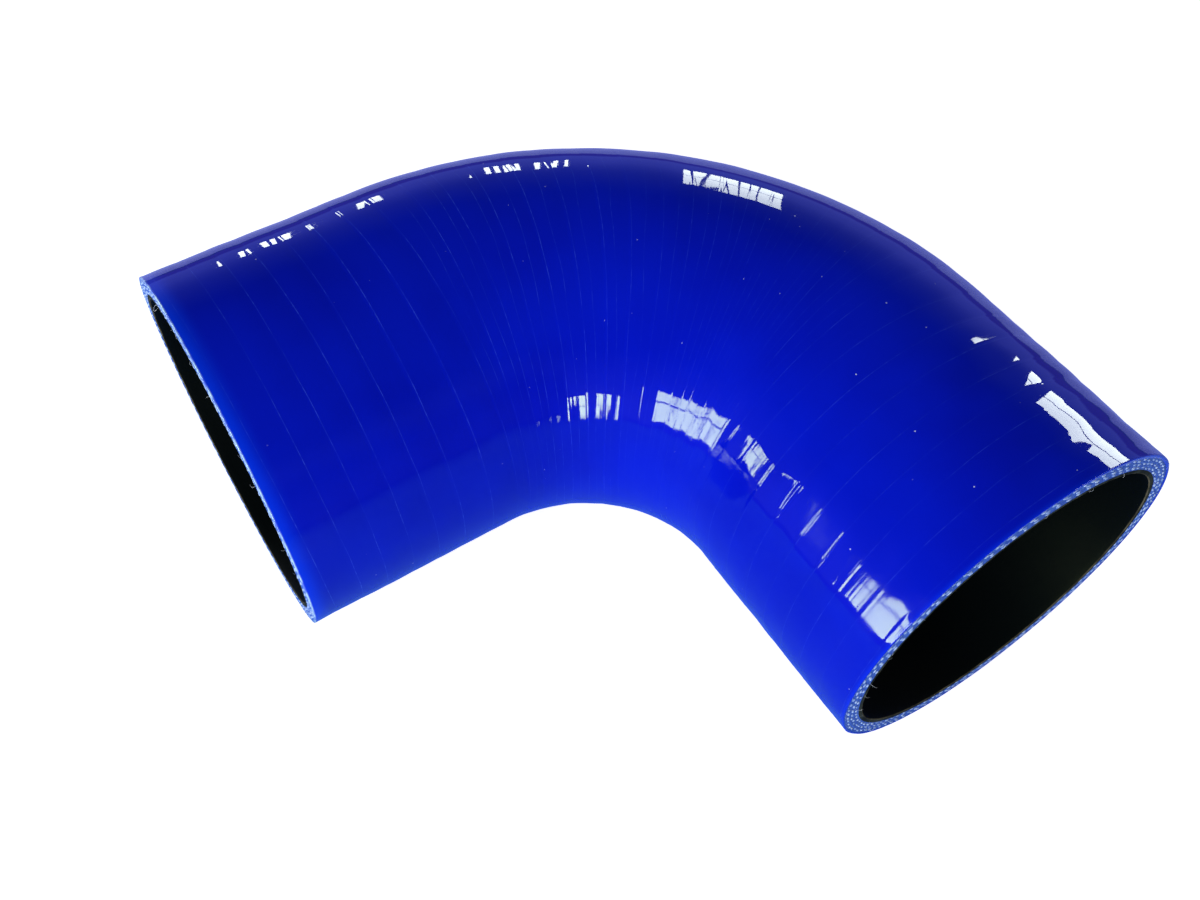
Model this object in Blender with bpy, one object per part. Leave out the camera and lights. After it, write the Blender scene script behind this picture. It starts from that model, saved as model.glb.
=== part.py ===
"""Silicone hose elbow: a 90 degree reinforced coolant or air hose, lying on its side.

The real hose is wrapped by hand over a bent mandrel: a black liner, three plies of
knitted yarn and silicone, and a blue cover. Shrink tape is wound over the cover in a
tight spiral, the whole wall is cured into one piece, and the ends are cut square. So
the hose is a single solid here, and its faces carry the colours of the layers that
they belong to: the cover outside, the plies on the cut faces, the liner in the bore.

Frame, in metres: the hose lies on z = 0 with its bend in a level plane. The first leg
points along -X and the second along -Y, and the origin is under the middle of the box.
"""

import math

import bmesh
import bpy
from mathutils import Vector

# Bore and route
BORE_DIAMETER = 0.063
BEND_ANGLE = math.radians(90.0)
BEND_RADIUS = 0.060  # on the centre-line
LEG_REACH = 0.102  # from the corner of the two axes to a cut face

# Wall, from the bore outwards
LINER_THICKNESS = 0.0009
PLY_COUNT = 3
PLY_THICKNESS = 0.0009
COVER_THICKNESS = 0.0009

# Marks of the shrink tape on the cover
TAPE_PITCH = 0.0057
TAPE_STEP_HEIGHT = 0.00018
TAPE_STEP_WIDTH = 0.0008
TAPE_LEAD = 0.014  # how far a turn runs ahead on the inside of the bend

# Cut faces
EDGE_ROUNDING = 0.00025
PLY_GROOVE_DEPTH = 0.0002

# Fineness of the mesh
COLUMNS = 56
BEND_STEPS = 14

WALL_THICKNESS = LINER_THICKNESS + PLY_COUNT * PLY_THICKNESS + COVER_THICKNESS
BORE_RADIUS = BORE_DIAMETER / 2
COVER_RADIUS = BORE_RADIUS + WALL_THICKNESS
LEG_LENGTH = LEG_REACH - BEND_RADIUS * math.tan(BEND_ANGLE / 2)
BEND_LENGTH = BEND_RADIUS * BEND_ANGLE
HOSE_LENGTH = 2 * LEG_LENGTH + BEND_LENGTH
CORNER = (LEG_REACH - COVER_RADIUS) / 2  # the corner's x and y with the box centred

COVER, PLIES, LINER = range(3)
UP = Vector((0.0, 0.0, 1.0))


def make_material(name, colour, roughness):
    """A plain rubber finish."""
    material = bpy.data.materials.new(name)
    material.use_nodes = True
    shader = material.node_tree.nodes["Principled BSDF"]
    shader.inputs["Base Color"].default_value = (*colour, 1.0)
    shader.inputs["Roughness"].default_value = roughness
    shader.inputs["Metallic"].default_value = 0.0
    return material


def route(station):
    """Centre-line point and the direction away from the bend's centre there."""
    turned = min(max((station - LEG_LENGTH) / BEND_RADIUS, 0.0), BEND_ANGLE)
    outward = Vector((math.sin(turned), math.cos(turned), 0.0))
    ahead = Vector((math.cos(turned), -math.sin(turned), 0.0))
    leg_travel = min(station - LEG_LENGTH, 0.0) + max(station - LEG_LENGTH - BEND_LENGTH, 0.0)
    bend_centre = Vector((CORNER - (LEG_REACH - LEG_LENGTH), CORNER - BEND_RADIUS, COVER_RADIUS))
    return bend_centre + outward * BEND_RADIUS + ahead * leg_travel, outward


def hose_point(station, radius, angle):
    """Point at an angle round the hose: 0 on the outside of the bend, a quarter on top."""
    centre, outward = route(station)
    return centre + radius * (outward * math.cos(angle) + UP * math.sin(angle))


def tape_station(turns, angle):
    """Station that the tape has reached after some turns. It leads inside the bend."""
    level = TAPE_PITCH * turns
    share = min(max((level - LEG_LENGTH) / BEND_LENGTH, 0.0), 1.0)
    lead = TAPE_LEAD * math.sin(math.pi * share) ** 2
    return level + lead * (1.0 - math.cos(angle)) / 2


def tape_radius(phase):
    """Cover radius across one turn: it falls away slowly, then steps back up."""
    step_share = TAPE_STEP_WIDTH / TAPE_PITCH
    if phase < 1.0 - step_share:
        sunk = phase / (1.0 - step_share)
    else:
        sunk = (1.0 - phase) / step_share
    return COVER_RADIUS - TAPE_STEP_HEIGHT * sunk


def wrap_cover(mesh, angle_of):
    """The cover's surface, with its rows of faces running along the tape's spiral."""
    first, last = EDGE_ROUNDING, HOSE_LENGTH - EDGE_ROUNDING
    snap = TAPE_STEP_WIDTH / 2  # a row this near to an end is drawn to it

    def new_vertex(station, phase, column):
        angle = 2 * math.pi * column / COLUMNS
        vertex = mesh.verts.new(hose_point(station, tape_radius(phase), angle))
        vertex[angle_of] = angle
        return vertex

    def end_loop(station):
        loop = []
        for column in range(COLUMNS):
            turns = station / TAPE_PITCH - column / COLUMNS
            loop.append(new_vertex(station, turns % 1.0, column))
        return loop

    near_loop, far_loop = end_loop(first), end_loop(last)
    made = {}

    def vertex_at(row, column):
        if column == COLUMNS:
            row, column = row + 2, 0
        phase = (row % 2) * (1.0 - TAPE_STEP_WIDTH / TAPE_PITCH)
        turns = row // 2 - 1 + phase + column / COLUMNS
        station = tape_station(turns, 2 * math.pi * column / COLUMNS)
        if station < first + snap:
            return near_loop[column]
        if station > last - snap:
            return far_loop[column]
        if (row, column) not in made:
            made[row, column] = new_vertex(station, phase, column)
        return made[row, column]

    row_count = 2 * (math.ceil(HOSE_LENGTH / TAPE_PITCH) + 1)
    for row in range(row_count):
        for column in range(COLUMNS):
            corners = [
                vertex_at(row, column),
                vertex_at(row, column + 1),
                vertex_at(row + 1, column + 1),
                vertex_at(row + 1, column),
            ]
            outline = list(dict.fromkeys(corners))
            if len(outline) > 2:
                mesh.faces.new(outline).material_index = COVER
    return near_loop, far_loop


def cut_face_rings():
    """Rings of a cut face from the cover inwards: depth below the cut, radius, layer."""
    rings = [(0.0, COVER_RADIUS - TAPE_STEP_HEIGHT - EDGE_ROUNDING, COVER)]
    radius = COVER_RADIUS - COVER_THICKNESS
    rings.append((0.0, radius, COVER))
    for _ in range(PLY_COUNT):
        rings.append((PLY_GROOVE_DEPTH, radius - PLY_THICKNESS / 2, PLIES))
        radius -= PLY_THICKNESS
        rings.append((0.0, radius, PLIES))
    rings.append((0.0, BORE_RADIUS + EDGE_ROUNDING, LINER))
    rings.append((EDGE_ROUNDING, BORE_RADIUS, LINER))
    return rings


def bore_stations():
    """Stations of the bore's rings, one for each step of the bend."""
    return [LEG_LENGTH + BEND_LENGTH * step / BEND_STEPS for step in range(BEND_STEPS + 1)]


def wall_walk():
    """Every ring after the cover's near edge: in over one face, down the bore, out again."""
    rings = cut_face_rings()
    walk = [(depth, radius, layer) for depth, radius, layer in rings]
    walk += [(station, BORE_RADIUS, LINER) for station in bore_stations()]
    inward = [layer for _, _, layer in rings]
    # walked backwards, a band belongs to the layer of the ring that it leaves
    layers = [LINER] + inward[:0:-1]
    for (depth, radius, _), layer in zip(reversed(rings), layers):
        walk.append((HOSE_LENGTH - depth, radius, layer))
    return walk


def build_hose():
    """One closed wall: the wrapped cover, two cut faces and the bore."""
    mesh = bmesh.new()
    angle_of = mesh.verts.layers.float.new("angle")
    near_loop, far_loop = wrap_cover(mesh, angle_of)

    edges = loop_edges(mesh, near_loop)
    for station, radius, layer in wall_walk():
        grown = bmesh.ops.extrude_edge_only(mesh, edges=edges)["geom"]
        for part in grown:
            if isinstance(part, bmesh.types.BMVert):
                part.co = hose_point(station, radius, part[angle_of])
            elif isinstance(part, bmesh.types.BMFace):
                part.material_index = layer
        edges = [part for part in grown if isinstance(part, bmesh.types.BMEdge) and part.is_boundary]
    rim = edges + loop_edges(mesh, far_loop)
    for face in bmesh.ops.bridge_loops(mesh, edges=rim)["faces"]:
        face.material_index = COVER
    bmesh.ops.recalc_face_normals(mesh, faces=mesh.faces)

    data = bpy.data.meshes.new("hose_elbow")
    mesh.to_mesh(data)
    mesh.free()
    data.shade_smooth()
    data.set_sharp_from_angle(angle=math.radians(20.0))
    return data


def loop_edges(mesh, loop):
    """Edges that join a closed loop of vertices, in order."""
    return [mesh.edges.get((loop[i - 1], loop[i])) for i in range(len(loop))]


def main():
    for old in list(bpy.data.objects):
        bpy.data.objects.remove(old, do_unlink=True)
    hose = bpy.data.objects.new("hose_elbow", build_hose())
    hose.data.materials.append(make_material("blue_silicone_cover", (0.004, 0.014, 0.48), 0.12))
    hose.data.materials.append(make_material("yarn_plies", (0.42, 0.55, 0.82), 0.75))
    hose.data.materials.append(make_material("black_liner", (0.012, 0.014, 0.015), 0.45))
    bpy.context.scene.collection.objects.link(hose)


main()
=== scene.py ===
# Silicone hose elbow: the finish of its blue cover, its cut ends and its black bore
import math

import bmesh
import bpy
import numpy as np
from mathutils import Matrix, Vector


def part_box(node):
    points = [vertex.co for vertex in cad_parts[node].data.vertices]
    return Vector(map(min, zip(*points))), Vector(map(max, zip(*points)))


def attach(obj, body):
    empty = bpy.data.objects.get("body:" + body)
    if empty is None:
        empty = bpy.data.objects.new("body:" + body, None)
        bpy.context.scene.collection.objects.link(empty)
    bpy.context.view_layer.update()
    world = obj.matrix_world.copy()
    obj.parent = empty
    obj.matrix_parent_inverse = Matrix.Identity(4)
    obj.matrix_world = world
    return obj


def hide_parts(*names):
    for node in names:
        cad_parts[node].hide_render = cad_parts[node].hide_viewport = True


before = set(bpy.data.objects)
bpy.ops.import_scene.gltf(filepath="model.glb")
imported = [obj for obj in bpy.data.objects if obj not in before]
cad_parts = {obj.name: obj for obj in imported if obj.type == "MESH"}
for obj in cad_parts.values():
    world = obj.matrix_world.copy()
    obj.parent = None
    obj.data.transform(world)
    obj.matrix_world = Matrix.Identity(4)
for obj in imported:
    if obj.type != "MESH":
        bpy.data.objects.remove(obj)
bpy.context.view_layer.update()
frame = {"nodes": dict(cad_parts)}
print("frame loaded:", ", ".join(frame["nodes"]))

mm = 0.001
fullTurn = 2 * math.pi
lowCorner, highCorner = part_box("hose_elbow")

# the hose, from the frame's box and the sizes that the box doesn't show
hose = {
    "coverRadius": (highCorner.z - lowCorner.z) / 2,
    "boreRadius": 31.5 * mm,
    "bendRadius": 60 * mm,
    "plyThickness": 0.9 * mm,
    "plyCount": 3,
    "coverThickness": 0.9 * mm,
}
legReach = (highCorner.x - lowCorner.x) - hose["coverRadius"]
legLength = legReach - hose["bendRadius"]
bendLength = hose["bendRadius"] * math.pi / 2
hoseLength = 2 * legLength + bendLength
coverInside = hose["coverRadius"] - hose["coverThickness"]
bendCentre = np.array([lowCorner.x + legLength, lowCorner.y + legLength, hose["coverRadius"]])
firstMouth = Vector((lowCorner.x, bendCentre[1] + hose["bendRadius"], hose["coverRadius"]))
secondMouth = Vector((bendCentre[0] + hose["bendRadius"], lowCorner.y, hose["coverRadius"]))


def routeAt(station):
    # centre-line, and the direction away from the bend's centre
    turned = np.clip((station - legLength) / hose["bendRadius"], 0, math.pi / 2)
    level = np.zeros_like(turned)
    outward = np.stack([np.sin(turned), np.cos(turned), level], -1)
    ahead = np.stack([np.cos(turned), -np.sin(turned), level], -1)
    travel = np.minimum(station - legLength, 0) + np.maximum(station - legLength - bendLength, 0)
    return bendCentre + outward * hose["bendRadius"] + ahead * travel[..., None], outward


def hosePoints(station, radius, angle):
    # angle 0 is the outside of the bend, a quarter turn is the top
    centre, outward = routeAt(station)
    up = np.array([0.0, 0.0, 1.0])
    ray = outward * np.cos(angle)[..., None] + up * np.sin(angle)[..., None]
    return centre + ray * np.asarray(radius)[..., None]


def softNoise(along, angle, count, seed):
    # smooth noise from -1 to 1, with a count of waves round the hose, where it closes on itself
    around = angle / fullTurn * count
    grid = np.random.default_rng(seed).uniform(-1, 1, (int(along.max()) + 3, count))
    i, j = np.floor(along).astype(int), np.floor(around).astype(int)
    u, v = along - i, around - j
    u, v = u * u * (3 - 2 * u), v * v * (3 - 2 * v)
    near, far = j % count, (j + 1) % count
    low = grid[i, near] * (1 - v) + grid[i, far] * v
    high = grid[i + 1, near] * (1 - v) + grid[i + 1, far] * v
    return low * (1 - u) + high * u


def ripple(station, angle, look):
    # look: its length along the hose, how many go round it, its height and its seed
    length, count, height, seed = look
    return height * softNoise(station / length, angle, count, seed)


def wayUp(value, low, high):
    # 0 up to low, 1 from high on, and an even slope between them
    return np.clip((value - low) / (high - low), 0, 1)


def meshPiece(name, points, faces, materials, slots=None):
    mesh = bpy.data.meshes.new(name)
    mesh.from_pydata([tuple(p) for p in points], [], faces)
    for material in materials:
        mesh.materials.append(material)
    if slots is not None:
        mesh.polygons.foreach_set("material_index", slots)
    mesh.shade_smooth()
    mesh.update()
    piece = bpy.data.objects.new(name, mesh)
    bpy.context.scene.collection.objects.link(piece)
    return piece


def newMaterial(name):
    material = bpy.data.materials.new(name)
    material.use_nodes = True
    tree = material.node_tree
    return material, tree, tree.nodes["Principled BSDF"]


def addNode(tree, kind, values=None, **settings):
    node = tree.nodes.new(kind)
    for key, value in settings.items():
        setattr(node, key, value)
    for socket, value in (values or {}).items():
        node.inputs[socket].default_value = value
    return node


def mathNode(tree, operation, first, second=None):
    node = addNode(tree, "ShaderNodeMath", operation=operation)
    for socket, value in zip(node.inputs, (first, second)):
        if isinstance(value, (int, float)):
            socket.default_value = value
        elif value is not None:
            tree.links.new(value, socket)
    return node.outputs[0]


def noiseNode(tree, vector, scale, detail=2.0, roughness=0.5):
    node = addNode(tree, "ShaderNodeTexNoise", {"Scale": scale, "Detail": detail, "Roughness": roughness})
    tree.links.new(vector, node.inputs["Vector"])
    return node.outputs["Fac"]


def rangeNode(tree, value, low, high, toLow=0.0, toHigh=1.0):
    node = addNode(tree, "ShaderNodeMapRange", interpolation_type="SMOOTHSTEP")
    for socket, number in zip(list(node.inputs)[1:5], (low, high, toLow, toHigh)):
        socket.default_value = number
    tree.links.new(value, node.inputs[0])
    return node.outputs[0]


def mixColours(tree, factor, first, second):
    node = addNode(tree, "ShaderNodeMix", data_type="RGBA")
    for socket, value in zip((node.inputs[0], node.inputs[6], node.inputs[7]), (factor, first, second)):
        if isinstance(value, tuple):
            socket.default_value = (*value, 1.0)
        else:
            tree.links.new(value, socket)
    return node.outputs[2]


def bumpNode(tree, height, distance, strength=1.0, before=None):
    node = addNode(tree, "ShaderNodeBump", {"Strength": strength, "Distance": distance})
    tree.links.new(height, node.inputs["Height"])
    if before is not None:
        tree.links.new(before, node.inputs["Normal"])
    return node.outputs["Normal"]


def patches(tree, vector, look):
    # look: scale and detail of a noise, its low and high mark, and the values there if not 0 and 1
    scale, detail, *marks = look
    return rangeNode(tree, noiseNode(tree, vector, scale, detail), *marks)


def grainBump(tree, vector, look, before=None):
    # look: scale, detail and roughness of a noise, height and strength of its bump
    scale, detail, roughness, height, strength = look
    return bumpNode(tree, noiseNode(tree, vector, scale, detail, roughness), height, strength, before)


def fromCutEnds(tree, position):
    # distances from the two cut faces
    parts = addNode(tree, "ShaderNodeSeparateXYZ")
    tree.links.new(position, parts.inputs[0])
    first = mathNode(tree, "SUBTRACT", parts.outputs["X"], lowCorner.x)
    second = mathNode(tree, "SUBTRACT", parts.outputs["Y"], lowCorner.y)
    return first, second


coverFinish = {
    "blue": (0.0012, 0.0085, 0.60),
    "cloudBlue": (0.0010, 0.0060, 0.52),
    # painted light: the brighter blue painted beside the cut ends, for light coming through the thin wall
    "paintedEndGlow": (0.0010, 0.040, 1.0),
    "cutWhite": (0.50, 0.78, 1.0),
    "tapeLine": (0.032, 0.075, 0.76),
    "fleck": (0.60, 0.65, 0.85),
    # scale and detail of a noise, its low and high mark, and the values there
    "clouds": (38.0, 3.0, 0.35, 0.68),
    "lineBreaks": (120.0, 2.0, 0.38, 0.62, 0.20, 0.85),
    "lineBeads": (750.0, 1.0, 0.42, 0.68, 0.35, 1.0),
    "secondLineAt": (30.0, 1.0, 0.3, 0.7, 0.36, 0.64),  # share of a turn
    "whitenedPatches": (320.0, 3.0, 0.34, 0.60, 0.25, 1.0),
    "lineWidth": 0.020,  # share of a turn
    "lineFade": 0.5,  # the lines' strength from the middle of the bend on
    "secondLine": 0.7,  # strength of the second line
    "secondLineFades": ((-1, 1), (1, -3)),  # turns from the start and from the end of the bend
    # how far the painted glow reaches from each cut face, how strong it is there, and how it falls off
    "paintedGlowReach": (4.6 * mm, 1.1 * mm),  # from the first and the second cut face
    "paintedGlowAmount": (1.0, 0.5),
    "paintedGlowFalloff": 1.6,
    "whitenedDepth": (0.38 * mm, 0.05 * mm),
    "fleckSpacing": 7 * mm,
    "fleckSize": (0.007, 0.020),  # share of the spacing
    "fleckChoice": (0.82, 1.0, 0.0, 0.9),  # which cells have one, and how strongly it shows
    # scale, detail and roughness of a noise, height and strength of its bump
    "grain": (700.0, 1.0, 0.5, 0.0008 * mm, 1.0),
    # from and to share of a turn from the inside of the bend, and how creased and dull it is there
    "inside": (0.27, 0.14, 0.15, 1.0),
    "creasesPerTurn": (6.0, 9.0, 1.0),  # across a turn and round the hose
    "creaseHeight": 0.008 * mm,
    "dullPatches": (52.0, 2.0, 0.6),
    "dullMarks": (0.54, 0.70),
    "gloss": (0.03, 0.10),  # roughness of the film, and of its dull patches
    "refraction": 1.43,
}


def tapeLines(tree, position, turn):
    # thin pale line where each turn of tape ended
    finish = coverFinish
    share = mathNode(tree, "FRACT", turn)
    fromLine = mathNode(tree, "MINIMUM", share, mathNode(tree, "SUBTRACT", 1.0, share))
    line = rangeNode(tree, fromLine, finish["lineWidth"], 0.0)
    # in the bend the tape was pulled tighter and left a second, fainter mark between the others
    starts = turnStations()
    bendTurns = np.interp([legLength, legLength + bendLength], starts, np.arange(len(starts)))
    ends = zip(bendTurns, finish["secondLineFades"])
    fades = [rangeNode(tree, turn, end + low, end + high) for end, (low, high) in ends]
    inBend = mathNode(tree, "MULTIPLY", *fades)
    drift = patches(tree, position, finish["secondLineAt"])
    second = mathNode(tree, "ABSOLUTE", mathNode(tree, "SUBTRACT", share, drift))
    second = rangeNode(tree, second, finish["lineWidth"], 0.0)
    second = mathNode(tree, "MULTIPLY", second, finish["secondLine"])
    line = mathNode(tree, "MAXIMUM", line, mathNode(tree, "MULTIPLY", second, inBend))
    # the lines are broken up along their length, and fade along the hose
    for look in (finish["lineBreaks"], finish["lineBeads"]):
        line = mathNode(tree, "MULTIPLY", line, patches(tree, position, look))
    fading = rangeNode(tree, turn, bendTurns[0], bendTurns.mean(), 1.0, finish["lineFade"])
    return mathNode(tree, "MULTIPLY", line, fading)


def paintCutEnds(tree, position, colour):
    # painted light: a brighter blue is painted on the cover beside the cut ends, for the light that comes
    # through the thin, translucent wall there
    finish = coverFinish
    fromEnds = fromCutEnds(tree, position)
    reaches = zip(fromEnds, finish["paintedGlowReach"], finish["paintedGlowAmount"])
    paintedGlows = [rangeNode(tree, distance, reach, 0.0, 0.0, amount) for distance, reach, amount in reaches]
    # the painted glow, strongest right at the cut
    glow = mathNode(tree, "POWER", mathNode(tree, "MAXIMUM", *paintedGlows), finish["paintedGlowFalloff"])
    colour = mixColours(tree, glow, colour, finish["paintedEndGlow"])
    # the cover beside the first cut face is whiter in patches
    whitened = rangeNode(tree, fromEnds[0], *finish["whitenedDepth"])
    whitened = mathNode(tree, "MULTIPLY", whitened, patches(tree, position, finish["whitenedPatches"]))
    return mixColours(tree, whitened, colour, finish["cutWhite"])


def dustFlecks(tree, wrap):
    # one cell of the unrolled cover in a few holds a fleck of dust
    finish = coverFinish
    unrolled = {1: (tape["pitch"], fullTurn * hose["coverRadius"], 0.0)}
    flat = addNode(tree, "ShaderNodeVectorMath", unrolled, operation="MULTIPLY")
    tree.links.new(wrap, flat.inputs[0])
    perMetre = 1 / finish["fleckSpacing"]
    cells = addNode(tree, "ShaderNodeTexVoronoi", {"Scale": perMetre}, voronoi_dimensions="2D")
    tree.links.new(flat.outputs[0], cells.inputs["Vector"])
    tone = addNode(tree, "ShaderNodeSeparateColor")
    tree.links.new(cells.outputs["Color"], tone.inputs[0])
    size = rangeNode(tree, tone.outputs[1], 0.0, 1.0, *finish["fleckSize"])
    speck = mathNode(tree, "LESS_THAN", cells.outputs["Distance"], size)
    return mathNode(tree, "MULTIPLY", speck, rangeNode(tree, tone.outputs[0], *finish["fleckChoice"]))


def makeCoverMaterial():
    finish = coverFinish
    material, tree, shader = newMaterial("glossyBlueCover")
    position = addNode(tree, "ShaderNodeTexCoord").outputs["Object"]
    wrap = addNode(tree, "ShaderNodeUVMap", uv_map="tapeWrap").outputs[0]
    wrapParts = addNode(tree, "ShaderNodeSeparateXYZ")
    tree.links.new(wrap, wrapParts.inputs[0])

    clouds = patches(tree, position, finish["clouds"])
    colour = mixColours(tree, clouds, finish["blue"], finish["cloudBlue"])
    line = tapeLines(tree, position, wrapParts.outputs["X"])
    colour = mixColours(tree, line, colour, finish["tapeLine"])
    colour = paintCutEnds(tree, position, colour)
    colour = mixColours(tree, dustFlecks(tree, wrap), colour, finish["fleck"])
    tree.links.new(colour, shader.inputs["Base Color"])

    # the film's own grain, and hair-fine creases and dull patches inside the bend
    stretched = addNode(tree, "ShaderNodeVectorMath", {1: finish["creasesPerTurn"]}, operation="MULTIPLY")
    tree.links.new(wrap, stretched.inputs[0])
    fromInside = mathNode(tree, "ABSOLUTE", mathNode(tree, "SUBTRACT", wrapParts.outputs["Y"], 0.5))
    inside = rangeNode(tree, fromInside, *finish["inside"])
    crease = mathNode(tree, "MULTIPLY", noiseNode(tree, stretched.outputs[0], 1.0), inside)
    normal = grainBump(tree, position, finish["grain"])
    normal = bumpNode(tree, crease, finish["creaseHeight"], 1.0, normal)
    tree.links.new(normal, shader.inputs["Normal"])
    dull = mathNode(tree, "MULTIPLY", noiseNode(tree, position, *finish["dullPatches"]), inside)
    dull = rangeNode(tree, dull, *finish["dullMarks"], *finish["gloss"])
    tree.links.new(dull, shader.inputs["Roughness"])
    shader.inputs["IOR"].default_value = finish["refraction"]
    return material


coreFinish = {
    "plyRubber": (0.018, 0.085, 0.52),
    "plyPale": (0.042, 0.150, 0.66),
    "plyRoughness": 0.55,
    "liner": (0.0020, 0.0036, 0.0042),
    # colour at the cut, roughness and sheen of the bore, of the cut face and of its worn edge
    "bore": ((0.010, 0.012, 0.011), 0.52, 0.06),
    "cutLiner": ((0.034, 0.046, 0.040), 0.85, 0.03),
    "wornEdge": ((0.115, 0.108, 0.075), 0.80, 0.03),
    "wornDepth": (0.42 * mm, 0.10 * mm),
    "yarnTints": ((0.22, 0.37, 0.78), (0.48, 0.65, 0.98)),
    "filamentTints": ((0.60, 0.68, 0.78), (0.86, 0.88, 0.90)),
    "yarnRoughness": 0.8,
    "yarnSheen": 0.15,
    # scale and detail of a noise, its low and high mark, and the values there
    "plyMottle": (900.0, 3.0, 0.38, 0.66),
    "wornPatches": (260.0, 3.0, 0.36, 0.66, 0.35, 1.0),
    "yarnMottle": (900.0, 2.0, 0.35, 0.65),
    # scale, detail and roughness of a noise, height and strength of its bump
    "plyGrain": (2200.0, 3.0, 0.5, 0.04 * mm, 1.0),
    "linerGrain": (700.0, 4.0, 0.6, 0.05 * mm, 1.0),
    "linerDents": (60.0, 2.0, 0.5, 0.4 * mm, 0.5),
    "yarnFibres": (9000.0, 2.0, 0.5, 0.03 * mm, 1.0),
}


def makePlyMaterial():
    finish = coreFinish
    material, tree, shader = newMaterial("plyRubber")
    position = addNode(tree, "ShaderNodeTexCoord").outputs["Object"]
    mottle = patches(tree, position, finish["plyMottle"])
    colour = mixColours(tree, mottle, finish["plyRubber"], finish["plyPale"])
    tree.links.new(colour, shader.inputs["Base Color"])
    tree.links.new(grainBump(tree, position, finish["plyGrain"]), shader.inputs["Normal"])
    shader.inputs["Roughness"].default_value = finish["plyRoughness"]
    return material


def makeLinerMaterial(name, look):
    finish = coreFinish
    cutColour, roughness, sheen = look
    material, tree, shader = newMaterial(name)
    position = addNode(tree, "ShaderNodeTexCoord").outputs["Object"]
    fromEnd = mathNode(tree, "MINIMUM", *fromCutEnds(tree, position))
    worn = rangeNode(tree, fromEnd, *finish["wornDepth"])
    worn = mathNode(tree, "MULTIPLY", worn, patches(tree, position, finish["wornPatches"]))
    tree.links.new(mixColours(tree, worn, finish["liner"], cutColour), shader.inputs["Base Color"])
    normal = grainBump(tree, position, finish["linerGrain"])
    normal = grainBump(tree, position, finish["linerDents"], normal)
    tree.links.new(normal, shader.inputs["Normal"])
    shader.inputs["Roughness"].default_value = roughness
    shader.inputs["Specular IOR Level"].default_value = sheen
    return material


def makeYarnMaterial(name, tints):
    finish = coreFinish
    material, tree, shader = newMaterial(name)
    position = addNode(tree, "ShaderNodeTexCoord").outputs["Object"]
    colour = mixColours(tree, patches(tree, position, finish["yarnMottle"]), *tints)
    tree.links.new(colour, shader.inputs["Base Color"])
    tree.links.new(grainBump(tree, position, finish["yarnFibres"]), shader.inputs["Normal"])
    shader.inputs["Roughness"].default_value = finish["yarnRoughness"]
    shader.inputs["Specular IOR Level"].default_value = finish["yarnSheen"]
    return material


# the spiral that the shrink tape pressed into the cover
tape = {
    "pitch": 5.6 * mm,
    "bendPitch": 4.8 * mm,
    "jitter": 0.11,  # share of a pitch
    "seed": 7,
    "spareTurns": 2,  # past each cut, where they are trimmed off
    "lead": 14 * mm,  # how far a turn runs ahead on the inside of the bend
    # how far the middle of a turn stands above its sides, on the first and the second leg
    "crown": (0.055 * mm, 0.018 * mm),
    "crownChange": (0.0, 0.625),  # where it changes, in shares of the hose's length
    "outerCrown": 0.075 * mm,  # more than that, on the outside of the second leg
    "outerCrownChange": (0.6, 0.85),
    "outside": (-0.3, 0.7),  # from and to cosine of the angle from the outside of the bend
    "innerEase": 0.75,  # share of the crown that is gone on the inside of the bend
    "tilt": 0.02 * mm,  # from one side of a turn to the other
    "seamRidge": (0.012 * mm, 0.026 * mm),  # on the first and the second leg
    "ridgeChange": (1 / 2, 11 / 12),
    # middle and spread of a factor, turns in one of its waves, how many go round, seed
    "crownVaries": (0.8, 0.8, 1, 4, 12),
    "tiltVaries": (0.6, 1.2, 1, 3, 13),
    "ridgeVaries": (0.6, 0.6, 1 / 3, 40, 14),
    # how a turn strays along the hose: turns in a wave, how many go round, distance, seed
    "wander": (1.25, 5, 0.45 * mm, 11),
    "wanderStart": 5,  # turns into its pattern
    "wobble": (1 / 0.9, 46, 0.07 * mm, 15),
    # length along the hose, how many go round it, height, seed
    "ripples": [
        (2.4 * mm, 13, 0.007 * mm, 21), (4.6 * mm, 22, 0.045 * mm, 25),
        (7 * mm, 9, 0.04 * mm, 22), (21 * mm, 5, 0.08 * mm, 23),
    ],
    "secondLegRipple": (3.9 * mm, 42, 0.10 * mm, 27),
    "secondLegRise": (3 * mm, 12 * mm),  # from the end of the bend
    "pleats": (1.9 * mm, 26, 0.009 * mm, 24),
    "pleatRise": (0.0, 12 * mm),  # from both ends of the bend
    "inside": (0.25, 1.25),  # from and to cosine of the angle from the inside of the bend
    "sunk": 0.25 * mm,  # keeps the highest ripple inside the hose's size
    "columns": 320,
    "phases": [0.0, 0.04, 0.11, 0.27, 0.48, 0.69, 0.87, 0.955],  # rows of a turn, from its seam
    "edgeInset": 0.24 * mm,  # from the cut face to the end of the spiral
    "snap": 0.05 * mm,  # a row this near to that end is drawn to it
    "edgeRounding": 0.22 * mm,
    "edgeProfile": [(0.45, 0.0), (0.16, 0.25), (0.0, 1.0)],  # shares of the inset and of the rounding
    "innerSteps": 24,
}


def turnStations():
    # station at the start of every turn, a little uneven as tape wound by hand is
    draw = np.random.default_rng(tape["seed"])
    spare = tape["spareTurns"] * tape["pitch"]
    stations = [-spare]
    while stations[-1] < hoseLength + spare:
        share = min(max((stations[-1] - legLength) / bendLength, 0), 1)
        narrowing = (tape["pitch"] - tape["bendPitch"]) * math.sin(math.pi * share)
        uneven = 1 + tape["jitter"] * draw.uniform(-1, 1)
        stations.append(stations[-1] + (tape["pitch"] - narrowing) * uneven)
    return np.array(stations)


def varied(onSpiral, angle, look):
    # a factor that changes along the spiral
    middle, spread, length, count, seed = look
    return middle + spread * softNoise(onSpiral / length, angle, count, seed)


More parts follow.
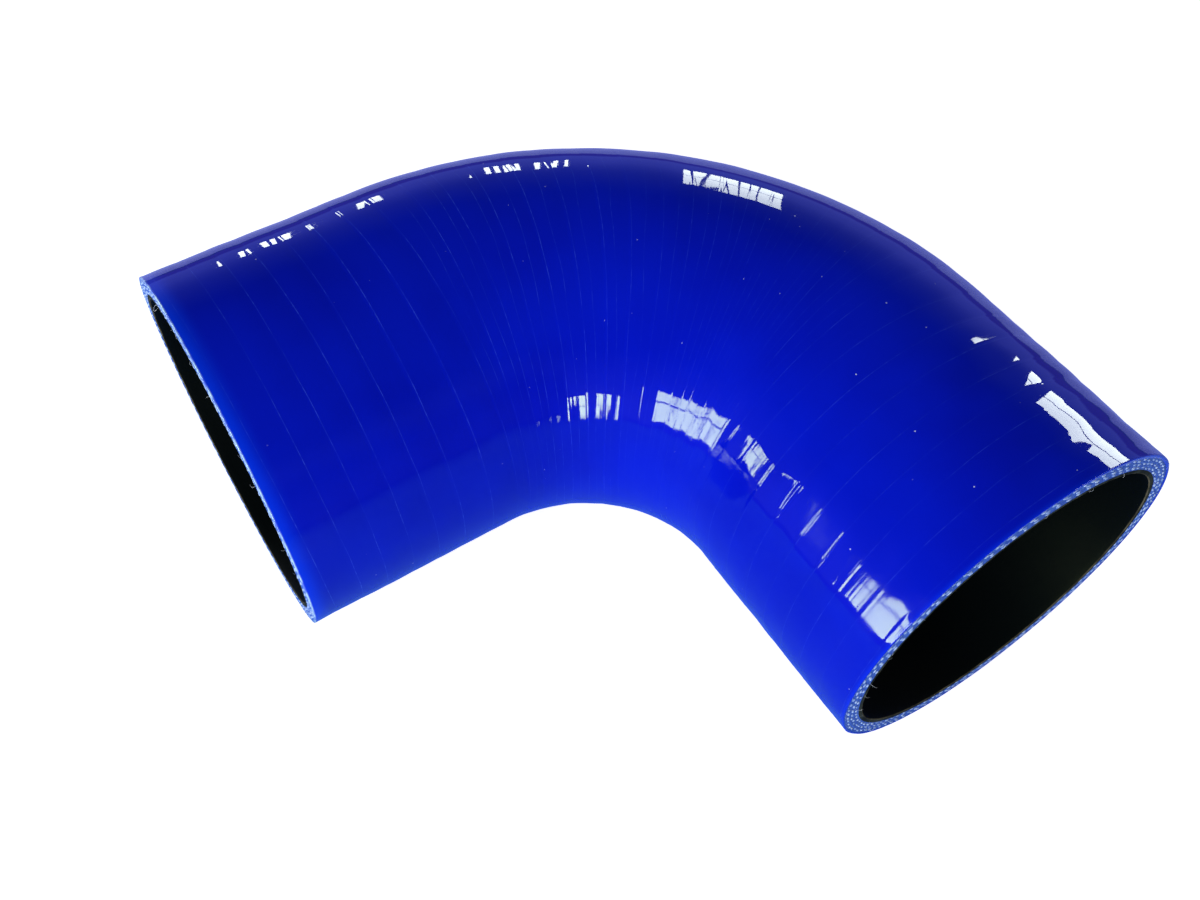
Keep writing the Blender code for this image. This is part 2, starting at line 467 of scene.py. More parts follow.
def helicalRows(starts):
    # stations and relief of rows that follow the spiral, one column of points more than a turn
    phases = np.array(tape["phases"])
    turnCount = len(starts) - 2  # a row runs on for a whole turn
    rowTurn = np.repeat(np.arange(turnCount), len(phases))
    rowPhase = np.tile(phases, turnCount)
    share = np.arange(tape["columns"] + 1) / tape["columns"]
    turns = (rowTurn + rowPhase)[:, None] + share[None, :]
    angle = np.broadcast_to(share * fullTurn, turns.shape)
    level = np.interp(turns, np.arange(len(starts)), starts)
    bendShare = wayUp(level, legLength, legLength + bendLength)
    lead = tape["lead"] * np.sin(math.pi * bendShare) ** 2 * (1 - np.cos(angle)) / 2
    strayed = ripple(turns + tape["wanderStart"], angle, tape["wander"])
    strayed += ripple(turns, angle, tape["wobble"])
    # each turn is a little crowned and tilted, by its own amount, with a fine ridge at its seam
    onSpiral = rowTurn[:, None] + share[None, :]
    phase = rowPhase[:, None]
    along = level / hoseLength
    firstCrown, secondCrown = tape["crown"]
    crown = firstCrown + (secondCrown - firstCrown) * wayUp(along, *tape["crownChange"])
    # inside the bend the turns lie closer together, so they stand less high
    crown *= 1 + tape["innerEase"] * np.sqrt(np.sin(math.pi * bendShare)) * np.minimum(np.cos(angle), 0)
    crown *= varied(onSpiral + 0.5, angle, tape["crownVaries"])
    onOutside = wayUp(np.cos(angle), *tape["outside"]) * wayUp(along, *tape["outerCrownChange"])
    crown += tape["outerCrown"] * onOutside
    tilt = tape["tilt"] * varied(onSpiral + 0.5, angle, tape["tiltVaries"])
    firstRidge, secondRidge = tape["seamRidge"]
    ridge = firstRidge + (secondRidge - firstRidge) * wayUp(along, *tape["ridgeChange"])
    ridge *= varied(onSpiral, angle, tape["ridgeVaries"])
    relief = crown * (1 - (2 * phase - 1) ** 2) + tilt * (0.5 - phase) + ridge * (phase == 0)
    return level + lead + strayed, angle, relief, rowTurn + rowPhase


def finerRelief(station, angle):
    # ripples that don't follow the turns
    relief = sum(ripple(station, angle, look) for look in tape["ripples"])
    bendEnd = legLength + bendLength
    onSecond = wayUp(station - bendEnd, *tape["secondLegRise"])
    relief += onSecond * ripple(station, angle, tape["secondLegRipple"])
    # the cover is drawn into fine pleats on the inside of the bend
    bent = wayUp(np.minimum(station - legLength, bendEnd - station), *tape["pleatRise"])
    inside = wayUp(-np.cos(angle), *tape["inside"])
    return relief + bent * inside * ripple(station, angle, tape["pleats"])


def closingRings(nearRim, farRim):
    # beside and over the cut edges and along the hidden inside: station and radius of each ring
    inset, rounding = tape["edgeInset"], tape["edgeRounding"]
    rings = [(inset * s, nearRim - rounding * r) for s, r in tape["edgeProfile"]] + [(0.0, coverInside)]
    rings += [(s, coverInside) for s in np.linspace(legLength, legLength + bendLength, tape["innerSteps"])]
    rings.append((hoseLength, coverInside))
    outward = reversed(tape["edgeProfile"])
    return rings + [(hoseLength - inset * s, farRim - rounding * r) for s, r in outward]


def spiralFaces(index, rowPhase):
    # faces between the rows, and at each corner the number of turns and the share of a turn
    columns, rowsPerTurn = tape["columns"], len(tape["phases"])
    faces, wrapUv = [], []
    for row in range(len(index) - rowsPerTurn - 1):
        for column in range(columns):
            corners = {}
            for down, across in ((0, 0), (0, 1), (1, 1), (1, 0)):
                point = int(index[row + down, column + across])
                corners.setdefault(point, (rowPhase[row + down], (column + across) / columns))
            if len(corners) > 2:
                faces.append(tuple(corners))
                wrapUv.extend(corners.values())
    return faces, wrapUv


def makeCover(material):
    columns, rowsPerTurn = tape["columns"], len(tape["phases"])
    station, angle, relief, rowPhase = helicalRows(turnStations())
    first, last = tape["edgeInset"], hoseLength - tape["edgeInset"]
    before, beyond = station < first + tape["snap"], station > last - tape["snap"]
    station = np.clip(station, first, last)
    radius = hose["coverRadius"] + relief + finerRelief(station, angle) - tape["sunk"]
    points = hosePoints(station, radius, angle).reshape(-1, 3)

    # one index for each point of the grid; rows past an end share that end's loop
    rows = len(station)
    index = np.arange(rows * (columns + 1)).reshape(rows, columns + 1)
    nearLoop = index[np.argmin(before, 0) - 1, np.arange(columns + 1)]
    farLoop = index[np.argmax(beyond, 0), np.arange(columns + 1)]
    index = np.where(before, nearLoop[None, :], np.where(beyond, farLoop[None, :], index))
    # a row's last point is the first one of the row a turn later
    seamRows = np.minimum(np.arange(rows) + rowsPerTurn, rows - 1)
    index[:, columns] = index[seamRows, 0]
    faces, wrapUv = spiralFaces(index, rowPhase)

    rings = closingRings(*(radius.ravel()[loop[:columns]] for loop in (nearLoop, farLoop)))
    ringAngle = np.arange(columns) * fullTurn / columns
    ringPoints = [hosePoints(np.full(columns, s), r * np.ones(columns), ringAngle) for s, r in rings]
    loops = [len(points) + k * columns + np.arange(columns) for k in range(len(rings))]
    loops = [nearLoop[:columns]] + loops + [farLoop[:columns]]
    for outer, inner in zip(loops, loops[1:]):
        for column in range(columns):
            after = (column + 1) % columns
            faces.append(tuple(int(i) for i in (outer[after], outer[column], inner[column], inner[after])))
            wrapUv.extend([(0.5, 0.5)] * 4)  # midway between two lines

    allPoints = np.concatenate([points] + ringPoints)
    used = np.unique(np.concatenate([np.array(face) for face in faces]))
    renumber = np.full(len(allPoints), -1)
    renumber[used] = np.arange(len(used))
    faces = [tuple(int(renumber[i]) for i in face) for face in faces]
    piece = meshPiece("blueCover", allPoints[used], faces, [material])
    uvLayer = piece.data.uv_layers.new(name="tapeWrap")
    uvLayer.data.foreach_set("uv", np.array(wrapUv).ravel())
    return piece


# the plies and the liner, as one sleeve inside the cover
core = {
    "columns": 288,
    "boreSteps": 130,
    "hiddenSteps": 24,
    "gap": 0.01 * mm,  # between the sleeve and the cover
    "groove": 0.16 * mm,
    "grooveProfile": [(0.25, 0.5), (0.5, 1.0), (0.75, 0.5), (1.0, 0.0)],  # shares of a ply and of the depth
    "rounding": 0.17 * mm,
    "roundingSteps": 4,
    # length, how many go round the hose, height, seed
    "ragged": (mm / 9, 260, 0.03 * mm, 31),  # the knife's marks, over the wall
    "uneven": (7 * mm, 14, 0.05 * mm, 32),  # the bore, along the hose
    "faceDepth": 0.5 * mm,  # what is this near to a cut belongs to its face
    "keptRim": 0.1 * mm,  # the edge beside the cover stays even
}
plySlot, boreSlot, edgeSlot, faceSlot = range(4)


def coreRings():
    # depth, radius and material slot of each ring, from the cover inwards over a cut face
    rings = [(0.0, coverInside - core["gap"], plySlot)]
    for ply in range(hose["plyCount"]):
        top = coverInside - ply * hose["plyThickness"]
        for share, depth in core["grooveProfile"]:
            rings.append((depth * core["groove"], top - share * hose["plyThickness"], plySlot))
    bore, rounding = hose["boreRadius"], core["rounding"]
    rings += [(0.0, bore + 2 * rounding, faceSlot), (0.0, bore + rounding, faceSlot)]
    for step in range(1, core["roundingSteps"] + 1):
        turn = step / core["roundingSteps"] * math.pi / 2
        rings.append((rounding * (1 - math.cos(turn)), bore + rounding * (1 - math.sin(turn)), edgeSlot))
    return rings


def coreWalk():
    # in over the first cut face, down the bore, out over the second and back under the cover
    face = coreRings()
    roundEnd = face[-1][0]
    bore = np.linspace(roundEnd, hoseLength - roundEnd, core["boreSteps"])[1:-1]
    hidden = np.linspace(legLength, legLength + bendLength, core["hiddenSteps"])
    walk = face + [(s, hose["boreRadius"], boreSlot) for s in bore]
    backSlots = [boreSlot] + [slot for _, _, slot in face][:0:-1]
    walk += [(hoseLength - d, r, slot) for (d, r, _), slot in zip(reversed(face), backSlots)]
    return walk + [(s, coverInside - core["gap"], plySlot) for s in hidden[::-1]]


def makeCore(materials):
    columns, walk = core["columns"], coreWalk()
    angle = np.broadcast_to((np.arange(columns) * fullTurn / columns)[None, :], (len(walk), columns))
    station = np.broadcast_to(np.array([w[0] for w in walk])[:, None], angle.shape).copy()
    radius = np.broadcast_to(np.array([w[1] for w in walk])[:, None], angle.shape).copy()

    # a knife cut is never quite flat, and the bore isn't quite even
    fromEnd = np.minimum(station, hoseLength - station)
    onFace = (fromEnd < core["faceDepth"]) & (radius < coverInside - core["keptRim"])
    inBore = (radius <= hose["boreRadius"]) & ~onFace
    _, _, depth, _ = core["ragged"]
    cut = depth + ripple(radius, angle, core["ragged"])
    station += np.where(onFace, np.where(station < legLength, cut, -cut), 0)
    radius += np.where(inBore, ripple(station, angle, core["uneven"]), 0)
    points = hosePoints(station, radius, angle).reshape(-1, 3)
    faces, faceSlots = [], []
    for ring in range(len(walk)):
        following = (ring + 1) % len(walk)
        for column in range(columns):
            after = (column + 1) % columns
            corners = ((ring, after), (ring, column), (following, column), (following, after))
            faces.append(tuple(r * columns + c for r, c in corners))
            faceSlots.append(walk[following][2])
    return meshPiece("pliesAndLiner", points, faces, materials, faceSlots)


# cut ends of the knitted yarn, in one ring for each ply
yarn = {
    "spacing": 2.15 * mm,
    "wander": (0.15 * mm, 0.15 * mm, 0.02 * mm),
    # half sizes across the wall, round the hose and along it
    "smallest": (0.19 * mm, 0.38 * mm, 0.13 * mm),
    "largest": (0.29 * mm, 0.62 * mm, 0.20 * mm),
    "sunk": 0.7,  # share of the groove's depth
    "seed": 5,
    "mouthSeeds": 10,  # from one mouth's seeds to the other's
}
# loose filaments pulled out by the knife
fray = {
    "count": 42,
    "spread": 2.2 * mm,  # how far they stray from the middle of the wall
    "thickness": 0.024 * mm,
    # the longest one's line, out of the cut and over the bore's edge
    "start": (0.0, 0.0, 0.0),
    "startHandle": (0.0, 0.0, 0.7 * mm),
    "endHandle": (-0.9 * mm, 0.2 * mm, 1.0 * mm),
    "end": (-1.5 * mm, 0.5 * mm, 0.6 * mm),
    "shortest": 0.25,  # shares of that line
    "longest": 0.85,
    "twist": 0.9,  # radians, about each axis
    "steps": 7,
    "sides": 5,
    "seed": 9,
}


def newGeometryTree(name, sockets):
    tree = bpy.data.node_groups.new(name, "GeometryNodeTree")
    tree.interface.new_socket("Geometry", in_out="OUTPUT", socket_type="NodeSocketGeometry")
    for label, kind in sockets:
        tree.interface.new_socket(label, in_out="INPUT", socket_type="NodeSocket" + kind)
    return tree, tree.nodes.new("NodeGroupInput"), tree.nodes.new("NodeGroupOutput")


def finishTree(tree, instances, material, output):
    realize = addNode(tree, "GeometryNodeRealizeInstances")
    paint = addNode(tree, "GeometryNodeSetMaterial")
    tree.links.new(instances, realize.inputs[0])
    tree.links.new(realize.outputs[0], paint.inputs["Geometry"])
    tree.links.new(material, paint.inputs["Material"])
    tree.links.new(paint.outputs[0], output.inputs[0])


def randomVector(tree, low, high, seed, offset=0):
    node = addNode(tree, "FunctionNodeRandomValue", data_type="FLOAT_VECTOR")
    shifted = addNode(tree, "ShaderNodeMath", {1: float(offset)}, operation="ADD")
    tree.links.new(seed, shifted.inputs[0])
    for socket, value in zip(node.inputs, (low, high)):
        if isinstance(value, tuple):
            socket.default_value = value
        else:
            tree.links.new(value, socket)
    tree.links.new(shifted.outputs[0], node.inputs["Seed"])
    return node.outputs[0]


def strewOnRing(tree, given, count, offset, shape):
    # sets the shape on the points of a ring, each point shifted, its X away from the middle
    links = tree.links
    ring = addNode(tree, "GeometryNodeMeshCircle")
    links.new(given.outputs["Ring Radius"], ring.inputs["Radius"])
    links.new(given.outputs[count], ring.inputs["Vertices"])
    place = addNode(tree, "GeometryNodeSetPosition")
    links.new(ring.outputs[0], place.inputs["Geometry"])
    links.new(offset, place.inputs["Offset"])
    facing = addNode(tree, "FunctionNodeAlignRotationToVector", axis="X")
    links.new(addNode(tree, "GeometryNodeInputPosition").outputs[0], facing.inputs["Vector"])
    strew = addNode(tree, "GeometryNodeInstanceOnPoints")
    links.new(place.outputs[0], strew.inputs["Points"])
    links.new(shape, strew.inputs["Instance"])
    links.new(facing.outputs[0], strew.inputs["Rotation"])
    return strew


def yarnRingTree():
    sockets = [
        ("Ring Radius", "Float"), ("Yarn Ends", "Int"), ("Wander", "Vector"),
        ("Smallest", "Vector"), ("Largest", "Vector"), ("Seed", "Int"), ("Material", "Material"),
    ]
    tree, given, output = newGeometryTree("yarnRing", sockets)
    links, seed = tree.links, given.outputs["Seed"]
    minus = addNode(tree, "ShaderNodeVectorMath", {1: (-1.0, -1.0, -1.0)}, operation="MULTIPLY")
    links.new(given.outputs["Wander"], minus.inputs[0])
    shift = randomVector(tree, minus.outputs[0], given.outputs["Wander"], seed)
    tuft = addNode(tree, "GeometryNodeMeshIcoSphere", {"Radius": 1.0, "Subdivisions": 2})
    smooth = addNode(tree, "GeometryNodeSetShadeSmooth")
    links.new(tuft.outputs[0], smooth.inputs[0])
    strew = strewOnRing(tree, given, "Yarn Ends", shift, smooth.outputs[0])
    size = randomVector(tree, given.outputs["Smallest"], given.outputs["Largest"], seed, 1)
    links.new(size, strew.inputs["Scale"])
    finishTree(tree, strew.outputs[0], given.outputs["Material"], output)
    return tree


def frayTree():
    sockets = [
        ("Ring Radius", "Float"), ("Filaments", "Int"), ("Thickness", "Float"),
        ("Shortest", "Float"), ("Longest", "Float"), ("Seed", "Int"), ("Material", "Material"),
    ]
    tree, given, output = newGeometryTree("frayedFilaments", sockets)
    links, seed = tree.links, given.outputs["Seed"]
    reach, twist = (fray["spread"], fray["spread"], 0.0), (fray["twist"],) * 3
    shift = randomVector(tree, tuple(-r for r in reach), reach, seed)
    hair = addNode(tree, "GeometryNodeCurvePrimitiveBezierSegment", {
        "Resolution": fray["steps"], "Start": fray["start"], "Start Handle": fray["startHandle"],
        "End Handle": fray["endHandle"], "End": fray["end"],
    })
    section = addNode(tree, "GeometryNodeCurvePrimitiveCircle", {"Resolution": fray["sides"]})
    links.new(given.outputs["Thickness"], section.inputs["Radius"])
    tube = addNode(tree, "GeometryNodeCurveToMesh", {"Fill Caps": True})
    links.new(hair.outputs[0], tube.inputs[0])
    links.new(section.outputs[0], tube.inputs[1])
    strew = strewOnRing(tree, given, "Filaments", shift, tube.outputs[0])
    size = addNode(tree, "FunctionNodeRandomValue", data_type="FLOAT")
    links.new(given.outputs["Shortest"], size.inputs[2])
    links.new(given.outputs["Longest"], size.inputs[3])
    links.new(seed, size.inputs["Seed"])
    links.new(size.outputs[1], strew.inputs["Scale"])
    spin = addNode(tree, "GeometryNodeRotateInstances")
    links.new(strew.outputs[0], spin.inputs[0])
    links.new(randomVector(tree, tuple(-t for t in twist), twist, seed, 3), spin.inputs["Rotation"])
    finishTree(tree, spin.outputs[0], given.outputs["Material"], output)
    return tree


def evaluateTree(tree, values, place):
    # runs the tree once and returns its result as a plain mesh, set in its place
    holder = bpy.data.objects.new("holder", bpy.data.meshes.new("holder"))
    bpy.context.scene.collection.objects.link(holder)
    modifier = holder.modifiers.new("make", "NODES")
    modifier.node_group = tree
    for item in tree.interface.items_tree:
        if item.in_out == "INPUT":
            modifier[item.identifier] = values[item.name]
    graph = bpy.context.evaluated_depsgraph_get()
    mesh = bpy.data.meshes.new_from_object(holder.evaluated_get(graph))
    bpy.data.objects.remove(holder, do_unlink=True)
    mesh.transform(place)
    return mesh


def mouthPlaces():
    # turns a ring lying in XY to face out of each mouth, its outer side up
    first = Matrix.Translation(firstMouth) @ Matrix.Rotation(-math.pi / 2, 4, "Y")
    second = Matrix.Translation(secondMouth) @ Matrix.Rotation(math.pi / 2, 4, "X")
    return [first, second]


def joinMeshes(name, meshes, material):
    points, faces = [], []
    for mesh in meshes:
        start = len(points)
        points += [v.co.copy() for v in mesh.vertices]
        faces += [tuple(start + i for i in face.vertices) for face in mesh.polygons]
    return meshPiece(name, points, faces, [material])


def makeYarnEnds(material):
    tree, meshes = yarnRingTree(), []
    sink = Matrix.Translation((0, 0, -yarn["sunk"] * core["groove"]))
    for mouth, place in enumerate(mouthPlaces()):
        for ply in range(hose["plyCount"]):
            radius = coverInside - (ply + 0.5) * hose["plyThickness"]
            meshes.append(evaluateTree(tree, {
                "Ring Radius": radius, "Yarn Ends": round(fullTurn * radius / yarn["spacing"]),
                "Wander": yarn["wander"], "Smallest": yarn["smallest"], "Largest": yarn["largest"],
                "Seed": yarn["seed"] + yarn["mouthSeeds"] * mouth + ply, "Material": material,
            }, place @ sink))
    return joinMeshes("yarnEnds", meshes, material)


def makeFray(material):
    tree, meshes = frayTree(), []
    for mouth, place in enumerate(mouthPlaces()):
        meshes.append(evaluateTree(tree, {
            "Ring Radius": hose["boreRadius"] + fray["spread"], "Filaments": fray["count"],
            "Thickness": fray["thickness"], "Shortest": fray["shortest"], "Longest": fray["longest"],
            "Seed": fray["seed"] + mouth, "Material": material,
        }, place))
    return joinMeshes("frayedFilaments", meshes, material)


studio = {
    "floorRadius": 0.8,
    "floorCorners": 96,
    "floorColour": (0.86, 0.86, 0.86),
    "floorRoughness": 0.9,
    "floorLift": 0.80,  # its own glow where it is seen directly
    "floorGlow": 0.20,  # and for the light that it throws on the hose
    # what the hose itself sees: the sheet that it lies on, painted blue and given a painted glow for the
    # hose's blue light thrown back on it, and nothing beyond the sheet
    "sheetNear": (0.16, 0.38, 0.80),
    "sheetFar": (0.50, 0.53, 0.84),
    "nearGlow": (0.01, 0.04, 0.20),
    "farGlow": (0.04, 0.07, 0.42),
    "sheetSides": (-0.28, 0.30, 0.30),  # its edges at -X, +X and +Y
    "sheetSoftness": 0.01,  # of those edges
    "sheetFade": (-0.42, -0.10),  # it fades out towards the viewer
    "sheetTurn": (-0.02, 0.14),  # X + Y, from the near colours to the far ones
    "windowDistance": 8.0,
    "roomRadius": 12.0,
    "roomFaces": (64, 96),
    "clearSky": (0.90, 1.0, 0.95),
    "hazySky": (0.80, 1.0, 0.45),
    # from and to azimuth, lowest and highest elevation, panes across, where the bars across
    # its height are, width of a mullion in degrees, strength
    "frontWindows": [
        (153.5, 157.0, -1.0, 15.0, 2, [0.66], 0.5, 19.0),
        (164.0, 203.0, -5.0, 15.0, 4, [0.66], 1.0, 19.0),
        (222.4, 225.4, -9.0, 8.0, 1, [0.55], 0.5, 24.0),
        (229.8, 232.8, -10.0, 8.0, 1, [0.55], 0.5, 24.0),
        (239.0, 244.2, -10.5, 6.5, 1, [0.55], 0.5, 24.0),
        (251.0, 253.0, -12.0, -7.0, 1, [], 0.5, 9.0),
        (258.5, 260.0, -12.0, -7.5, 1, [], 0.5, 9.0),
    ],
    "backWindows": [
        (79.4, 83.0, 0.0, 8.5, 2, [], 0.7, 10.0),
        (75.0, 76.6, -1.0, 8.0, 1, [], 0.6, 8.0),
        (62.9, 66.8, 1.0, 11.5, 3, [], 0.6, 10.0),
        (58.7, 61.7, 1.0, 11.5, 2, [], 1.0, 10.0),
        (40.4, 48.8, 2.0, 21.0, 4, [0.4], 0.36, 8.0),
        (7.0, 18.0, 7.5, 25.0, 1, [0.55], 0.7, 12.0),
        # behind and beside the hose, seen from its other sides only
        (103.0, 118.0, 2.0, 19.0, 3, [0.6], 0.6, 9.0),
        (124.0, 139.0, 2.0, 19.0, 3, [0.6], 0.6, 9.0),
        (306.0, 320.0, 3.0, 20.0, 3, [0.6], 0.6, 9.0),
        (326.0, 340.0, 3.0, 20.0, 3, [0.6], 0.6, 9.0),
    ],
    # the dark room that the gloss shows round the windows: height as a share of the way
    # from straight down to straight up, and the colour there
    "roomTones": [
        (0.385, (0.04, 0.07, 0.12)), (0.392, (0.085, 0.075, 0.38)), (0.434, (0.085, 0.075, 0.38)),
        (0.450, (0.17, 0.21, 0.85)), (0.540, (0.17, 0.22, 0.84)), (0.65, (0.08, 0.125, 0.38)),
        (0.80, (0.015, 0.045, 0.06)),
    ],
    # straight to the front the room is darker: from and to share of its radius, and the strengths
    "darkFront": (0.85, 0.96, 1.0, 0.3),
    "skyLight": 0.15,  # the world's strength as the hose and the floor see it
    # azimuth, elevation, distance, width and power of each lamp; none of them shows in the gloss
    "lamps": {
        "leftSoftbox": (185.0, 15.0, 1.2, 0.8, 7.6),
        "frontSoftbox": (220.0, 15.0, 1.2, 0.8, 8.0),
        "backSoftbox": (48.0, 30.0, 1.2, 0.8, 3.5),
    },
}


def glowingMaterial(name):
    # a material that only gives light, and its emission node
    material = bpy.data.materials.new(name)
    material.use_nodes = True
    tree = material.node_tree
    tree.nodes.remove(tree.nodes["Principled BSDF"])
    glow = addNode(tree, "ShaderNodeEmission")
    tree.links.new(glow.outputs[0], tree.nodes["Material Output"].inputs["Surface"])
    return material, tree, glow


def windowMaterial(name, colour, strength):
    material, _, glow = glowingMaterial(name)
    glow.inputs["Color"].default_value = (*colour, 1.0)
    glow.inputs["Strength"].default_value = strength
    return material


def paneCorners(left, right, bottom, top):
    # corners in metres of a pane that is given in degrees
    distance, corners = studio["windowDistance"], []
    for azimuth, elevation in ((left, top), (right, top), (right, bottom), (left, bottom)):
        turn, height = math.radians(azimuth), distance * math.tan(math.radians(elevation))
        corners.append((distance * math.cos(turn), distance * math.sin(turn), height + hose["coverRadius"]))
    return corners


def makeWindows():
    glasses, points, slots = [], [], []
    windows = [(studio["clearSky"], window) for window in studio["backWindows"]]
    windows += [(studio["hazySky"], window) for window in studio["frontWindows"]]
    for number, (colour, window) in enumerate(windows):
        fromAz, toAz, low, high, across, bars, mullion, strength = window
        glasses.append(windowMaterial("windowLight%d" % number, colour, strength))
        gap, width = mullion / 2, (toAz - fromAz) / across
        for i in range(across):
            left, right = fromAz + width * i + gap, fromAz + width * (i + 1) - gap
            for below, above in zip([0.0] + bars, bars + [1.0]):
                bottom, top = low + (high - low) * below + gap, low + (high - low) * above - gap
                points += paneCorners(left, right, bottom, top)
                slots.append(number)
    panes = [tuple(range(4 * k, 4 * k + 4)) for k in range(len(slots))]
    seenInGlossOnly(meshPiece("windowPanes", points, panes, glasses, slots))


def seenInGlossOnly(backdrop):
    backdrop.visible_camera = False
    backdrop.visible_diffuse = False
    backdrop.visible_transmission = False
    backdrop.visible_shadow = False


def makeRoom():
    # dark walls behind the windows, so that the gloss isn't washed out by the white world
    room, tree, glow = glowingMaterial("darkRoom")
    room.cycles.emission_sampling = "NONE"
    radius, tones = studio["roomRadius"], studio["roomTones"]
    parts = addNode(tree, "ShaderNodeSeparateXYZ")
    tree.links.new(addNode(tree, "ShaderNodeTexCoord").outputs["Object"], parts.inputs[0])
    height = addNode(tree, "ShaderNodeMapRange", {1: -radius, 2: radius})
    tree.links.new(parts.outputs["Z"], height.inputs[0])
    ramp = addNode(tree, "ShaderNodeValToRGB")
    while len(ramp.color_ramp.elements) < len(tones):
        ramp.color_ramp.elements.new(1.0)
    for element, (place, colour) in zip(ramp.color_ramp.elements, tones):
        element.position, element.color = place, (*colour, 1.0)
    tree.links.new(height.outputs[0], ramp.inputs[0])
    tree.links.new(ramp.outputs[0], glow.inputs["Color"])
    toFront = mathNode(tree, "MULTIPLY", parts.outputs["Y"], -1 / radius)
    tree.links.new(rangeNode(tree, toFront, *studio["darkFront"]), glow.inputs["Strength"])
    mesh = bmesh.new()
    around, upward = studio["roomFaces"]
    bmesh.ops.create_uvsphere(mesh, u_segments=around, v_segments=upward, radius=radius)
    data = bpy.data.meshes.new("darkRoom")
    mesh.to_mesh(data)
    mesh.free()
    data.materials.append(room)
    walls = bpy.data.objects.new("darkRoom", data)
    bpy.context.scene.collection.objects.link(walls)
    seenInGlossOnly(walls)


def makeFloor():
    material, tree, shader = newMaterial("paleFloor")
    shader.inputs["Roughness"].default_value = studio["floorRoughness"]
    shader.inputs["Specular IOR Level"].default_value = 0.0
    path = addNode(tree, "ShaderNodeLightPath")
    mirrored = path.outputs["Is Glossy Ray"]
    direct = mathNode(tree, "MAXIMUM", path.outputs["Is Camera Ray"], path.outputs["Is Transmission Ray"])
    parts = addNode(tree, "ShaderNodeSeparateXYZ")
    tree.links.new(addNode(tree, "ShaderNodeTexCoord").outputs["Object"], parts.inputs[0])
    farLeft, farRight, farBack = studio["sheetSides"]
    soft = studio["sheetSoftness"]
    onSheet = rangeNode(tree, parts.outputs["Y"], *studio["sheetFade"])
    for axis, edge, side in (("X", farLeft, soft), ("X", farRight, -soft), ("Y", farBack, -soft)):
        within = rangeNode(tree, parts.outputs[axis], edge - side, edge + side)
        onSheet = mathNode(tree, "MULTIPLY", onSheet, within)

    # reads as white where it is seen directly, and keeps the shadow
    across = mathNode(tree, "ADD", parts.outputs["X"], parts.outputs["Y"])
    farShare = rangeNode(tree, across, *studio["sheetTurn"])
    # painted blue bounce light on the sheet, bluest near the hose, seen only in the gloss
    sheet = mixColours(tree, farShare, studio["sheetNear"], studio["sheetFar"])
    colour = mixColours(tree, mirrored, studio["floorColour"], sheet)
    tree.links.new(colour, shader.inputs["Base Color"])
    lift, lit = ((studio[key],) * 3 for key in ("floorLift", "floorGlow"))
    glow = mixColours(tree, farShare, studio["nearGlow"], studio["farGlow"])
    glow = mixColours(tree, mirrored, lit, glow)
    tree.links.new(mixColours(tree, direct, glow, lift), shader.inputs["Emission Color"])
    shader.inputs["Emission Strength"].default_value = 1.0

    # a mirrored ray passes through the floor beyond the sheet
    clear = addNode(tree, "ShaderNodeBsdfTransparent")
    blend = addNode(tree, "ShaderNodeMixShader")
    hidden = mathNode(tree, "MULTIPLY", mirrored, mathNode(tree, "SUBTRACT", 1.0, onSheet))
    for socket, value in zip(blend.inputs, (hidden, shader.outputs[0], clear.outputs[0])):
        tree.links.new(value, socket)
    tree.links.new(blend.outputs[0], tree.nodes["Material Output"].inputs["Surface"])
    radius, corners = studio["floorRadius"], studio["floorCorners"]
    ring = [fullTurn * k / corners for k in range(corners)]
    points = [(math.cos(turn) * radius, math.sin(turn) * radius, 0.0) for turn in ring]
    meshPiece("floor", points, [tuple(range(corners))], [material])


def makeWorld():
    world = bpy.data.worlds.new("studio")
    bpy.context.scene.world = world
    world.use_nodes = True
    tree = world.node_tree
    background = tree.nodes["Background"]
    path, strength = addNode(tree, "ShaderNodeLightPath"), studio["skyLight"]
    for ray in ("Is Camera Ray", "Is Glossy Ray", "Is Transmission Ray"):
        strength = mathNode(tree, "MAXIMUM", strength, path.outputs[ray])
    tree.links.new(strength, background.inputs["Strength"])
    background.inputs["Color"].default_value = (1.0, 1.0, 1.0, 1.0)


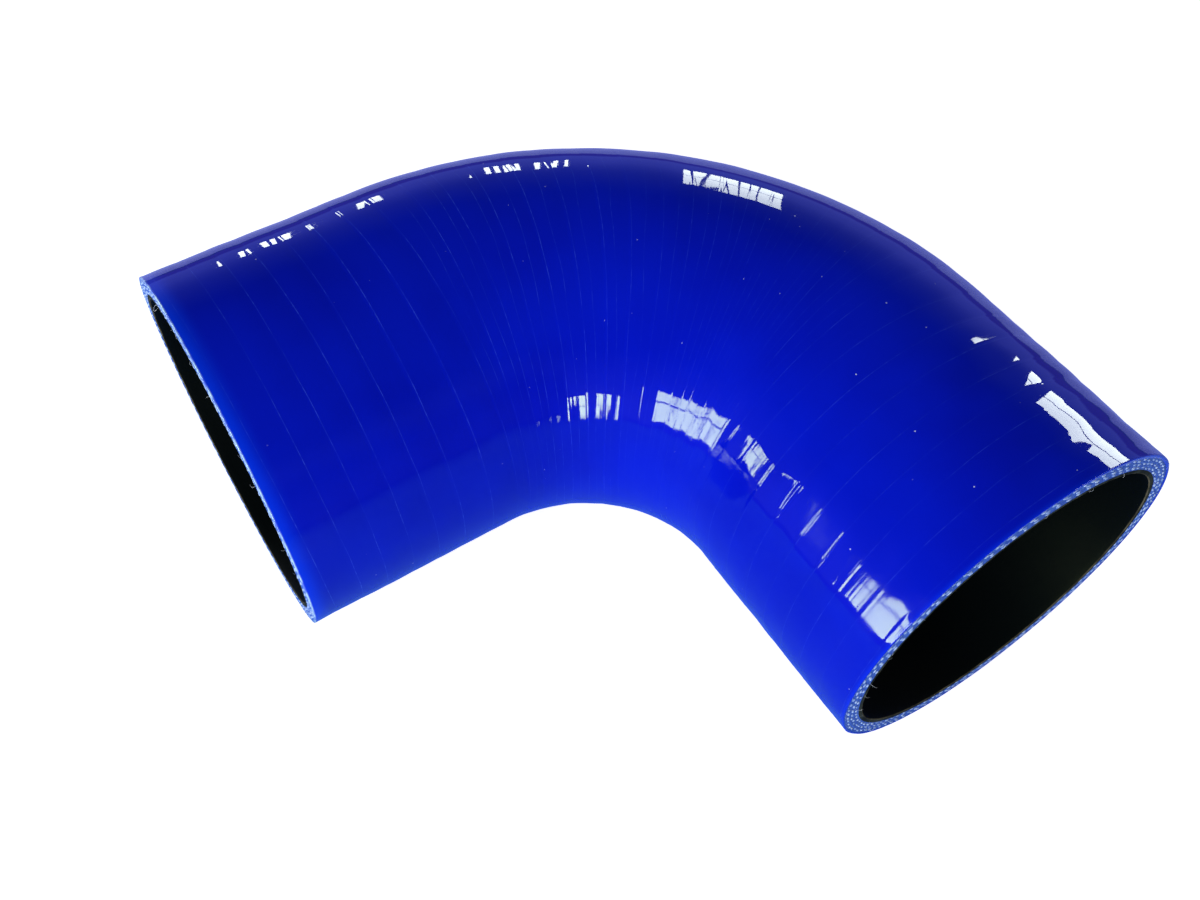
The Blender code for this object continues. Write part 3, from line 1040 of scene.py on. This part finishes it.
def makeLamps():
    middle = Vector((0.0, 0.0, hose["coverRadius"]))
    for name, (azimuth, elevation, distance, width, power) in studio["lamps"].items():
        turn, rise = math.radians(azimuth), math.radians(elevation)
        level = math.cos(rise)
        direction = Vector((math.cos(turn) * level, math.sin(turn) * level, math.sin(rise)))
        lamp = bpy.data.lights.new(name, "AREA")
        lamp.shape, lamp.size, lamp.energy = "DISK", width, power
        holder = bpy.data.objects.new(name, lamp)
        holder.location = middle + direction * distance
        holder.rotation_euler = direction.to_track_quat("Z", "Y").to_euler()
        holder.visible_glossy = False
        holder.visible_camera = False
        bpy.context.scene.collection.objects.link(holder)


# the photograph's viewpoint, fitted to the hose's outline
cameraView = {
    "location": (-0.0810, -0.1113, 0.2176),
    "target": (-0.0091, -0.0036, 0.0360),
    "roll": 1.18,
    "lens": 35.27,
    "nearest": 0.01,
}


def makeCamera():
    camera = bpy.data.objects.new("camera", bpy.data.cameras.new("camera"))
    camera.data.lens = cameraView["lens"]
    camera.data.clip_start = cameraView["nearest"]
    place, target = Vector(cameraView["location"]), Vector(cameraView["target"])
    look = (target - place).to_track_quat("-Z", "Y").to_matrix().to_4x4()
    roll = Matrix.Rotation(math.radians(cameraView["roll"]), 4, "Z")
    camera.matrix_world = Matrix.Translation(place) @ look @ roll
    bpy.context.scene.collection.objects.link(camera)
    bpy.context.scene.camera = camera


makeCamera()
makeFloor()
makeWorld()
makeWindows()
makeRoom()
makeLamps()
print("studio ready")

cover = makeCover(makeCoverMaterial())
print("cover wrapped:", len(cover.data.polygons), "faces")
liners = [
    makeLinerMaterial("blackLiner", coreFinish["bore"]),
    makeLinerMaterial("wornLinerEdge", coreFinish["wornEdge"]),
    makeLinerMaterial("cutLiner", coreFinish["cutLiner"]),
]
sleeve = makeCore([makePlyMaterial()] + liners)
print("plies and liner made:", len(sleeve.data.polygons), "faces")
yarnEnds = makeYarnEnds(makeYarnMaterial("cutYarn", coreFinish["yarnTints"]))
frayed = makeFray(makeYarnMaterial("looseFilament", coreFinish["filamentTints"]))
yarnFaces = len(yarnEnds.data.polygons) + len(frayed.data.polygons)
print("yarn ends and loose filaments made:", yarnFaces, "faces")

for piece in (cover, sleeve, yarnEnds, frayed):
    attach(piece, "root")
    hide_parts("hose_elbow")

bpy.context.scene.view_settings.view_transform = "Standard"
